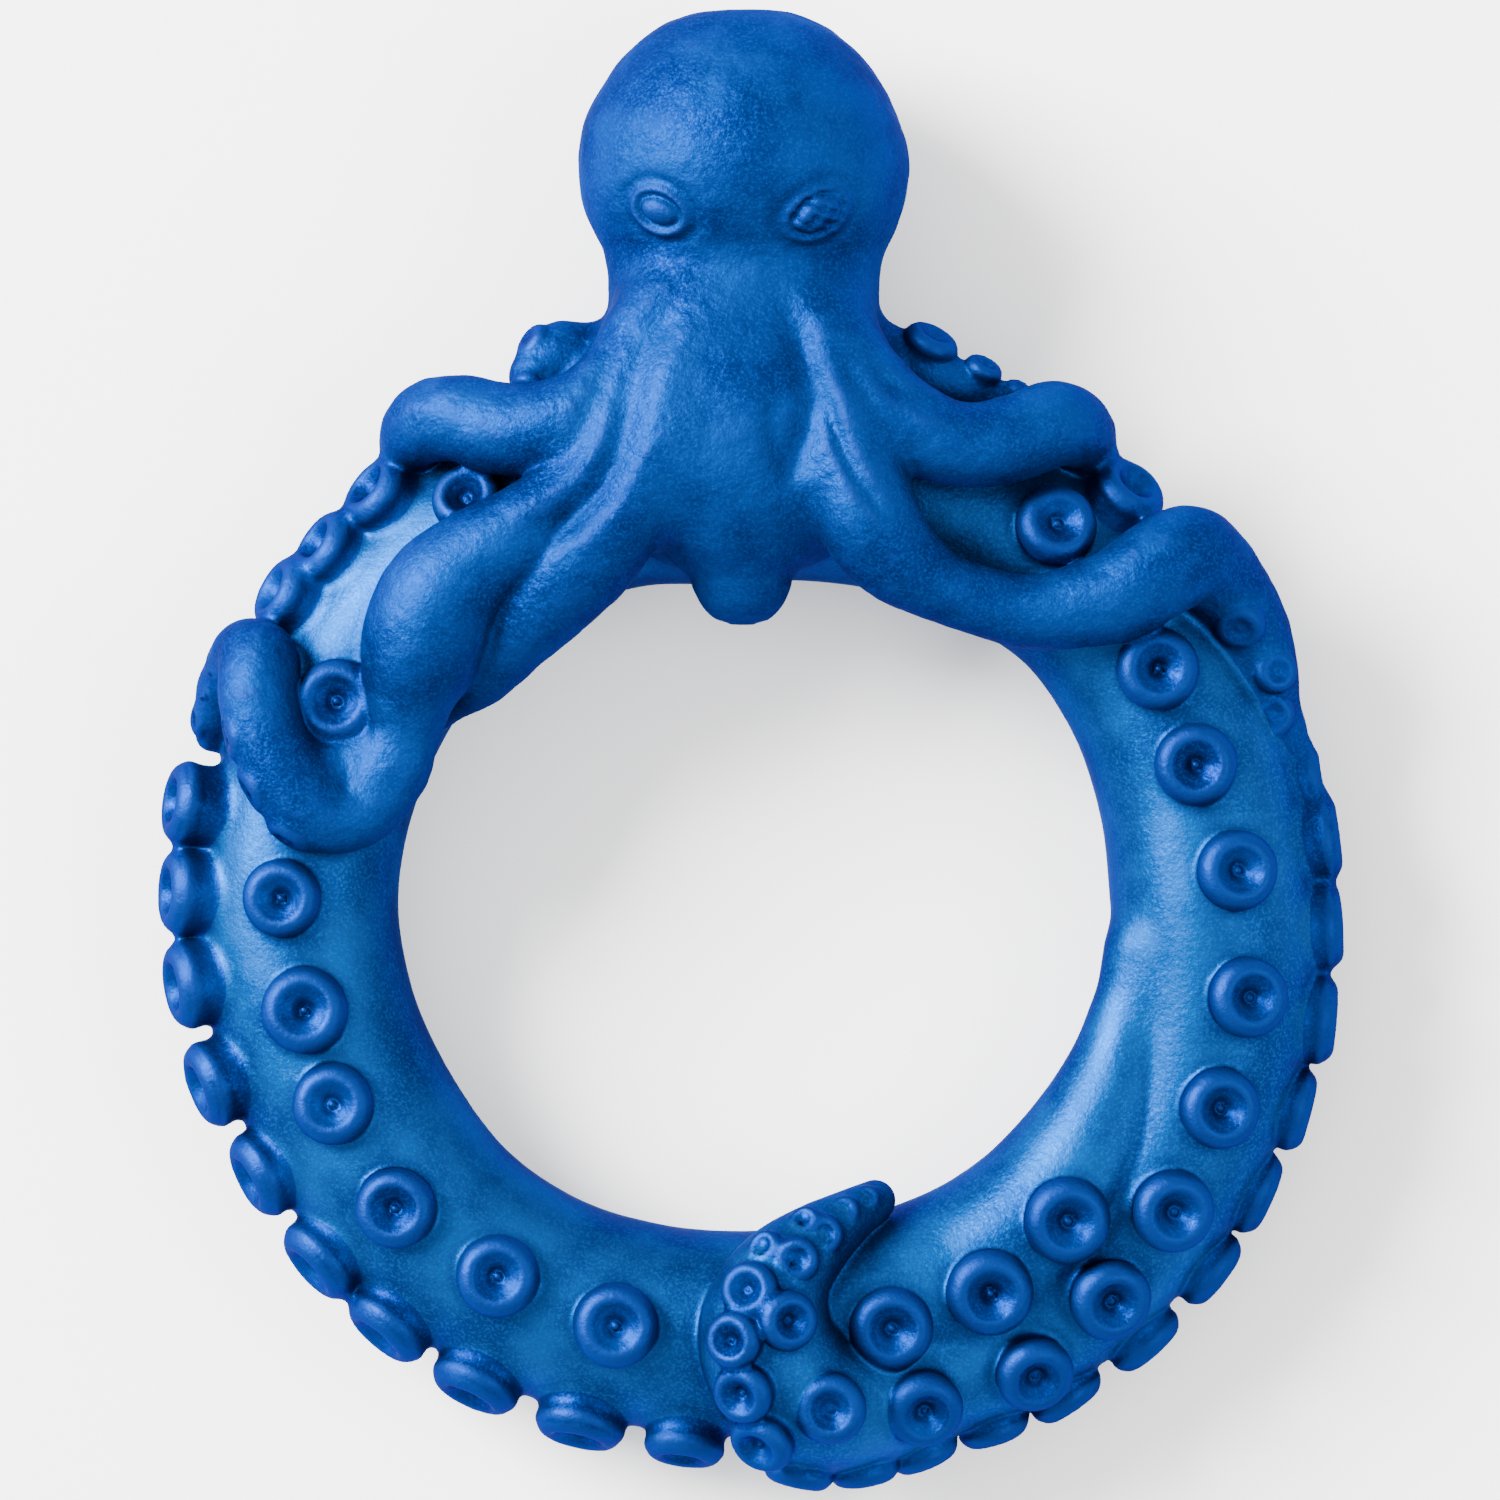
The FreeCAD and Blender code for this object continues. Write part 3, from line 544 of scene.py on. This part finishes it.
# the octopus above the ring, fused on its own first so that its folds flow together
U = np.full(tuple(N), FAR, np.float32)
win, d = loft(BODY)
fuse(U, win, d, 0.3)
y = axes_of(win)[1]
member("mantle_head", win, (d + np.maximum(NECK_Y - y, 0)).astype(np.float32))
member("body_skirt", win, (d + np.maximum(y - NECK_Y, 0)).astype(np.float32))

gx, gy = AX[0][:, None, None], AX[1][None, :, None]
from_neck = np.sqrt((gx + 0.5) ** 2 + ((gy - 27.0) * 0.9) ** 2)
MELT = (0.5 + 1.9 * (1 - step(3.5, 13.0, from_neck))).astype(np.float32)
# near the neck no crease hides the cut between members, so there they meet without an overlap
REACH = (0.05 * step(3.5, 13.0, from_neck)).astype(np.float32)

win, d = loft(BIB)
member("chin_lobe", win, d)
fuse(U, win, d, MELT[win[0], win[1], :])

ARMS = (
    ("arm_left_rear", ARM_LEFT_REAR),
    ("arm_right_rear", ARM_RIGHT_REAR),
    ("arm_left_upper", ARM_LEFT_UPPER),
    ("arm_right_upper", ARM_RIGHT_UPPER),
    ("arm_left_lower", ARM_LEFT_LOWER),
    ("arm_right_lower", ARM_RIGHT_LOWER),
    ("arm_left_inner", ARM_LEFT_INNER),
)
def risen(path):
    """path with its first rows sunk, so that the arm rises gradually out of the neck."""
    p, q = np.array(path[0], float), np.array(path[1], float)
    back = p + (p - q) * 0.7
    rows = [tuple(back + (0, 0, -2.6, -0.1)), tuple(p + (0, 0, -1.3, 0.0)), tuple(q + (0, 0, -0.55, 0.0))]
    return rows + list(path[2:])


for name, path in ARMS:
    if not name.endswith("rear"):
        path = risen(path)
    win, d = tube(path, 6)
    member(name, win, d)
    fuse(U, win, d, MELT[win[0], win[1], :])

# the web that fills the bend of the large left arm
win, d = ellipsoid((-20.0, 7.0, 9.7), (2.8, 2.0, 1.9))
member("arm_left_lower", win, d)
fuse(U, win, d, 1.2)

F = smin(F, U, (0.75 + 0.6 * (1 - step(7.0, 15.0, from_neck))).astype(np.float32))
del U


def groove(points, width, depth, z0=9.0):
    """A soft groove that follows points on the front and fades out at both ends."""
    global F
    rows = dense([(p[0], p[1]) for p in points], 5)
    s = np.concatenate([[0], np.cumsum(np.linalg.norm(np.diff(rows, axis=0), axis=1))])
    fade = np.minimum(1.0, np.minimum(s, s[-1] - s) / min(3.0, 0.4 * s[-1]))
    fade = fade * fade * (3 - 2 * fade)
    lo, hi = rows.min(0) - 2.5 * width, rows.max(0) + 2.5 * width
    win = window((lo[0], lo[1], z0), (hi[0], hi[1], HI[2]), 0.0)
    x, y, z = axes_of(win)
    x, y = x[:, :, 0], y[:, :, 0]
    best = np.zeros(np.broadcast(x, y).shape, np.float32)
    for a, b, fa, fb in zip(rows[:-1], rows[1:], fade[:-1], fade[1:]):
        dx, dy = b - a
        t = np.clip(((x - a[0]) * dx + (y - a[1]) * dy) / (dx * dx + dy * dy), 0, 1)
        dist = np.sqrt((x - a[0] - t * dx) ** 2 + (y - a[1] - t * dy) ** 2)
        best = np.maximum(best, np.exp(-((dist / width) ** 2)) * (fa + (fb - fa) * t))
    F[win] += (depth * best[:, :, None] * step(z0, z0 + 1.5, z)).astype(np.float32)


for pts, width, depth in GROOVES:
    groove(pts, width, depth)



def front_of(cx, cy):
    """The point of the fused front above x, y, and the way it faces."""
    i, j = int(round((cx - LO[0]) / H)), int(round((cy - LO[1]) / H))
    col = F[i, j]
    k = int(np.nonzero(col < 0)[0].max())
    z = AX[2][k] + H * col[k] / (col[k] - col[k + 1])
    g = 3
    n = np.array([F[i + g, j, k] - F[i - g, j, k], F[i, j + g, k] - F[i, j - g, k], F[i, j, k + g] - F[i, j, k - g]], float)
    return np.array([cx, cy, float(z)]), n / np.linalg.norm(n)


def eye(name, cx, cy, tilt, ball, lid, lump):
    """An eyeball in a low ring of lid, thicker below, with a shallow moat round it."""
    global F
    c, n = front_of(cx, cy)
    turn = frame_on(n, (math.cos(tilt), math.sin(tilt), 0.0))
    win = window(c - 3.0, c + 3.0, 0.4)
    p, q, w = local(win, c, turn)
    low = np.clip(0.5 - 0.6 * q / lid[1], 0, 1)
    rho = np.sqrt((p / lid[0]) ** 2 + (q / lid[1]) ** 2) + 1e-6
    away = (rho - 1) * min(lid[:2])
    soft = np.exp(-((w / 1.2) ** 2))
    # a faint dip outside the lid, the raised lid, and the moat inside it
    F[win] += (0.16 * np.exp(-(((away - 0.42) / 0.34) ** 2)) * soft).astype(np.float32)
    F[win] -= (lid[2] * (0.75 + 0.5 * low) * np.exp(-((away / (0.17 + 0.07 * low)) ** 2)) * soft).astype(np.float32)
    inner = np.sqrt((p / ball[0]) ** 2 + (q / ball[1]) ** 2)
    F[win] += (0.17 * np.exp(-(((inner - 1.12) * ball[1] / 0.17) ** 2)) * soft).astype(np.float32)
    win2, d2 = ellipsoid(c - n * 0.16, ball, turn)
    fuse(F, win2, d2, 0.16)
    if lump:
        bumps = np.sin(p * 5.1 + 0.7) * np.sin(q * 6.3 + 1.9) + 0.7 * np.sin(p * 9.0 + q * 7.0) + 0.5 * np.sin(p * 3.1 - q * 8.0)
        F[win] -= (lump * bumps * np.exp(-((rho / 1.1) ** 4)) * soft).astype(np.float32)
    member(name, *ellipsoid(c - n * 0.2, (lid[0] + 0.25, lid[1] + 0.25, 0.75), turn))


eye("eye_left", -4.77, 34.38, math.radians(-8), (1.0, 0.66, 0.5), (1.42, 1.14, 0.24), 0.0)
eye("eye_right", 3.15, 34.2, math.radians(22), (1.25, 0.86, 0.5), (1.62, 1.22, 0.14), 0.075)

CUPS = (
    ("suckers_left_face", CUPS_LEFT_FACE),
    ("suckers_inner_end", CUPS_INNER_END),
    ("suckers_left_edge", CUPS_LEFT_EDGE),
    ("suckers_right_face", CUPS_RIGHT_FACE),
    ("suckers_right_edge", CUPS_RIGHT_EDGE),
    ("suckers_tip", CUPS_TIP),
    ("suckers_arms_left", CUPS_ARMS_LEFT),
    ("suckers_arms_right", CUPS_ARMS_RIGHT),
)
for name, rows in CUPS:
    for row in rows:
        win, d = sucker(*row, flat=1.0 if name.endswith("edge") else 0.0)
        member(name, win, d)
        melt = 0.34
        if name.endswith("edge"):  # on the upper right flank they sink into the skin, lower down they stand clear
            melt = 0.7 if name == "suckers_left_edge" else 0.35 + 0.6 * float(step(-9.0, -3.0, row[1]))
        fuse(F, win, d, melt)

share_out()

# the back is flat where it rests
F = np.maximum(F, -AX[2][None, None, :])

# ---- skin: broad unevenness of a hand sculpted master -------------------------------------------------------------
rng = np.random.default_rng(7)


def value_noise(p, size, seed_shift):
    """Smooth random values in -1..1 at points p, on a lattice of the given size."""
    q = p / size + 100.0 + seed_shift
    i = np.floor(q).astype(np.int64)
    f = q - i
    f = f * f * (3 - 2 * f)
    total = 0.0
    for dx in (0, 1):
        for dy in (0, 1):
            for dz in (0, 1):
                c = i + (dx, dy, dz)
                hsh = (c[:, 0] * 73856093) ^ (c[:, 1] * 19349663) ^ (c[:, 2] * 83492791)
                hsh = (hsh ^ (hsh >> 13)) * 1274126177 & 0xFFFFFFFF
                val = (hsh & 0xFFFF) / 32767.5 - 1.0
                w = (f[:, 0] if dx else 1 - f[:, 0]) * (f[:, 1] if dy else 1 - f[:, 1]) * (f[:, 2] if dz else 1 - f[:, 2])
                total = total + w * val
    return total


SOFT = {n: 1.0 for n in NAMES}
for n in NAMES:
    if n.startswith("ring"):
        SOFT[n] = 0.25
    elif n.startswith("suckers"):
        SOFT[n] = 0.45
rough = np.array([SOFT[n] for n in NAMES], np.float32)
near = np.nonzero(np.abs(F) < 0.75)
pts = np.stack([AX[i][near[i]] for i in range(3)], 1).astype(np.float64)
amp = rough[WHO[near]]
F[near] += (amp * (0.035 * value_noise(pts, 0.75, 3.0) + 0.06 * value_noise(pts, 2.6, 9.0))).astype(np.float32)
del near, pts, amp


def sample(arr, p):
    """Trilinear values of arr at points p, in millimetres."""
    q = (p - LO) / H
    q = np.clip(q, 0, N - 1.001)
    i = q.astype(np.int64)
    f = (q - i).astype(np.float32)
    x, y, z = i.T
    fx, fy, fz = f.T
    c00 = arr[x, y, z] * (1 - fx) + arr[x + 1, y, z] * fx
    c10 = arr[x, y + 1, z] * (1 - fx) + arr[x + 1, y + 1, z] * fx
    c01 = arr[x, y, z + 1] * (1 - fx) + arr[x + 1, y, z + 1] * fx
    c11 = arr[x, y + 1, z + 1] * (1 - fx) + arr[x + 1, y + 1, z + 1] * fx
    return (c00 * (1 - fy) + c10 * fy) * (1 - fz) + (c01 * (1 - fy) + c11 * fy) * fz


def gradient(arr, p, s):
    g = np.zeros((len(p), 3), np.float32)
    for i in range(3):
        e = np.zeros(3)
        e[i] = s
        g[:, i] = sample(arr, p + e) - sample(arr, p - e)
    return g / (np.linalg.norm(g, axis=1, keepdims=True) + 1e-9)


def build(name):
    win, own = OWN[name]
    i = NAMES.index(name)
    other = np.where(WHO[win] == i, NEXT[win], BEST[win])
    cell = 0.5 * (own - other)
    f = F[win]
    field = np.maximum(f + 0.8 * np.maximum(cell - REACH[win[0], win[1], :], 0.0), cell - 0.5)
    lim = 3 * H
    field = np.clip(field, -lim, lim).astype(np.float64)
    field[0], field[-1], field[:, 0], field[:, -1], field[:, :, 0], field[:, :, -1] = (lim,) * 6
    grid = openvdb.FloatGrid(lim)
    grid.copyFromArray(np.ascontiguousarray(field))
    pts, quads = grid.convertToQuads(0.0)
    pts = np.array(pts, float)
    p = pts * H + LO + np.array([w.start for w in win]) * H
    quads = np.array(quads, int)
    a, b, c, d = (p[quads[:, j]] for j in range(4))
    volume = (np.einsum("ij,ij->i", a, np.cross(b, c)) + np.einsum("ij,ij->i", a, np.cross(c, d))).sum() / 6
    if volume < 0:
        quads = quads[:, ::-1]
    mesh = bpy.data.meshes.new(name + "_skin")
    mesh.vertices.add(len(p))
    mesh.vertices.foreach_set("co", (p * 0.001).astype(np.float32).ravel())
    mesh.loops.add(quads.size)
    mesh.loops.foreach_set("vertex_index", quads.astype(np.int32).ravel())
    mesh.polygons.add(len(quads))
    mesh.polygons.foreach_set("loop_start", np.arange(0, quads.size, 4, dtype=np.int32))
    mesh.update(calc_edges=True)
    mesh.validate()
    mesh.polygons.foreach_set("use_smooth", np.ones(len(mesh.polygons), bool))
    # normals of the fused skin, so that the members shade as one casting
    depth = sample(F, p)
    normals = gradient(F, p, 0.8 * H)
    mine = np.empty(len(p) * 3, np.float32)
    mesh.vertex_normals.foreach_get("vector", mine)
    mine = mine.reshape(-1, 3)
    bury = step(-0.12, -0.3, depth)[:, None]
    normals = normals * (1 - bury) + mine * bury
    normals /= np.linalg.norm(normals, axis=1, keepdims=True) + 1e-9
    mesh.normals_split_custom_set_from_vertices(normals.tolist())
    # how sharply the skin curves: ridges above 0, creases below; the material darkens the broad creases as painted
    # shade
    here = sample(F, p)
    for label, s in (("curve_fine", 0.35), ("curve_broad", 0.9)):
        lap = np.zeros(len(p), np.float32)
        for j in range(3):
            e = np.zeros(3)
            e[j] = s
            lap += sample(F, p + e) + sample(F, p - e) - 2 * here
        att = mesh.attributes.new(label, "FLOAT", "POINT")
        att.data.foreach_set("value", (lap / (s * s)).astype(np.float32))
    hair = np.full(len(p), SOFT[name], np.float32)
    att = mesh.attributes.new("pebble", "FLOAT", "POINT")
    att.data.foreach_set("value", hair)
    ob = bpy.data.objects.new(name + "_piece", mesh)
    bpy.context.scene.collection.objects.link(ob)
    print("%-24s %7d verts  volume %8.1f mm3" % (name, len(p), abs(volume)))
    return ob


# ---- looks --------------------------------------------------------------------------------------------------------
def skin(name, deep, bright, rim, rough):
    m = bpy.data.materials.new(name)
    m.use_nodes = True
    nt = m.node_tree
    nt.nodes.clear()

    def node(kind, **kw):
        n = nt.nodes.new(kind)
        for k, v in kw.items():
            setattr(n, k, v)
        return n

    def put(n, key, value):
        n.inputs[key].default_value = value

    def link(a, b):
        nt.links.new(a, b)

    out = node("ShaderNodeOutputMaterial")
    s = node("ShaderNodeBsdfPrincipled")
    link(s.outputs[0], out.inputs[0])
    where = node("ShaderNodeTexCoord")
    fine = node("ShaderNodeAttribute", attribute_name="curve_fine")
    broad = node("ShaderNodeAttribute", attribute_name="curve_broad")
    pebble = node("ShaderNodeAttribute", attribute_name="pebble")

    def noise(scale, detail=2.0, rough=0.55):
        n = node("ShaderNodeTexNoise")
        put(n, "Scale", scale)
        put(n, "Detail", detail)
        put(n, "Roughness", rough)
        link(where.outputs["Object"], n.inputs["Vector"])
        return n.outputs[0]

    def ramp(x, a, b, lo=0.0, hi=1.0):
        n = node("ShaderNodeMapRange", interpolation_type="SMOOTHSTEP")
        link(x, n.inputs[0])
        for i, v in enumerate((a, b, lo, hi), 1):
            n.inputs[i].default_value = v
        return n.outputs[0]

    def maths(op, a, b):
        n = node("ShaderNodeMath", operation=op)
        for i, v in enumerate((a, b)):
            if isinstance(v, (int, float)):
                n.inputs[i].default_value = v
            else:
                link(v, n.inputs[i])
        return n.outputs[0]

    def blend(fac, a, b, mode="MIX"):
        n = node("ShaderNodeMix", data_type="RGBA", blend_type=mode)
        if isinstance(fac, (int, float)):
            n.inputs[0].default_value = fac
        else:
            link(fac, n.inputs[0])
        for i, v in ((6, a), (7, b)):
            if isinstance(v, tuple):
                n.inputs[i].default_value = v + (1.0,)
            else:
                link(v, n.inputs[i])
        return n.outputs[2]

    clouds = ramp(noise(210.0, 3.0, 0.55), 0.3, 0.7)
    grain = ramp(noise(6500.0, 1.0, 0.6), 0.45, 0.7)
    colour = blend(clouds, deep, bright)
    colour = blend(maths("MULTIPLY", grain, 0.4), colour, (bright[0] * 1.5, bright[1] * 1.7, bright[2] * 1.5))
    ridge = maths("MULTIPLY", ramp(fine.outputs["Fac"], 0.35, 1.6), 0.75)
    colour = blend(ridge, colour, rim)
    # painted shade: where the skin curves inward broadly, the colour is darkened towards about half the deep tone, as
    # shade in the creases
    crease_painted_shade = ramp(broad.outputs["Fac"], -0.1, -0.9, 0.0, 0.3)
    colour = blend(crease_painted_shade, colour, (deep[0] * 0.5, deep[1] * 0.45, deep[2] * 0.6))
    link(colour, s.inputs["Base Color"])
    put(s, "Metallic", METAL)
    rgh = maths("ADD", ramp(noise(420.0, 3.0), 0.3, 0.7, rough - 0.04, rough + 0.05), maths("MULTIPLY", ridge, 0.08))
    link(rgh, s.inputs["Roughness"])
    put(s, "Specular Tint", TINT)
    put(s, "IOR", GLOSS_IOR)

    pits = noise(1500.0, 3.0, 0.6)
    grit = noise(4200.0, 2.0, 0.6)
    height = maths("ADD", maths("MULTIPLY", maths("MULTIPLY", pits, pebble.outputs["Fac"]), 1.0), maths("MULTIPLY", grit, 0.22))
    bump = node("ShaderNodeBump")
    put(bump, "Strength", 0.8)
    put(bump, "Distance", 0.00013)
    link(height, bump.inputs["Height"])
    link(bump.outputs[0], s.inputs["Normal"])
    return m


DEEP, BRIGHT, RIM = (0.0003, 0.0100, 0.072), (0.0005, 0.027, 0.145), (0.0040, 0.024, 0.135)
METAL, TINT, GLOSS_IOR = 0.88, (0.02, 0.15, 0.42, 1.0), 1.2
MATS = {
    "head_and_body": skin("silicone_head_and_body", DEEP, BRIGHT, RIM, 0.6),
    "eyes": skin("silicone_eyes", DEEP, BRIGHT, RIM, 0.55),
    "arms": skin("silicone_arms", DEEP, BRIGHT, RIM, 0.57),
    # painted highlight: the ring tentacles get a lighter, more cyan copy of the one silicone, standing in for light on
    # their broad tubes
    "ring_tentacles": skin("silicone_ring_tentacles", (0.0002, 0.0175, 0.095), (0.0004, 0.042, 0.17), RIM, 0.48),
    # painted shade: the suckers get a darker copy of the one silicone, standing in for the shade they sit in
    "suckers": skin("silicone_suckers", (0.0004, 0.0085, 0.068), (0.0008, 0.0205, 0.13), RIM, 0.48),
}


def slot_of(name):
    for start, slot in (("suckers", "suckers"), ("ring", "ring_tentacles"), ("arm_", "arms"), ("eye", "eyes")):
        if name.startswith(start):
            return slot
    return "head_and_body"


for name in NAMES:
    ob = build(name)
    ob.data.materials.append(MATS[slot_of(name)])
    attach(ob, "root")
    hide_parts(name)

# ---- floor, light, camera -----------------------------------------------------------------------------------------
floor_mesh = bpy.data.meshes.new("floor")
S = 30.0
floor_mesh.from_pydata([(-S, -S, 0), (S, -S, 0), (S, S, 0), (-S, S, 0)], [], [(0, 1, 2, 3)])
floor = bpy.data.objects.new("floor", floor_mesh)
bpy.context.scene.collection.objects.link(floor)
paper = bpy.data.materials.new("paper")
paper.use_nodes = True
b = paper.node_tree.nodes["Principled BSDF"]
b.inputs["Base Color"].default_value = (0.96, 0.96, 0.96, 1)
b.inputs["Roughness"].default_value = 0.9
b.inputs["Specular IOR Level"].default_value = 0.1
floor.data.materials.append(paper)

world = bpy.data.worlds.new("studio")
world.use_nodes = True
bg = world.node_tree.nodes["Background"]
bg.inputs[0].default_value = (1.0, 1.0, 1.0, 1)
bg.inputs[1].default_value = 2.0
bpy.context.scene.world = world


def lamp(name, at, size, power, aim=(0, 0.005, 0.005), colour=(1, 1, 1)):
    light = bpy.data.lights.new(name, "AREA")
    light.shape = "RECTANGLE"
    light.size, light.size_y = size
    light.energy = power
    light.color = colour
    ob = bpy.data.objects.new(name, light)
    ob.location = at
    ob.rotation_euler = (Vector(aim) - Vector(at)).to_track_quat("-Z", "Y").to_euler()
    bpy.context.scene.collection.objects.link(ob)


lamp("key", (-0.60, 0.32, 0.48), (0.40, 0.40), 44.0)
lamp("fill", (0.45, -0.05, 0.55), (0.30, 0.30), 3.0)

cam = bpy.data.cameras.new("camera")
cam.sensor_width = 36.0
cam.lens = 36.0 * 512.0 / 75.0
cam.clip_start, cam.clip_end = 0.05, 50.0
eye_point = bpy.data.objects.new("camera", cam)
eye_point.location = (-0.00025, 0.00775, 0.520)
eye_point.rotation_euler = (0, 0, 0)
bpy.context.scene.collection.objects.link(eye_point)
bpy.context.scene.camera = eye_point
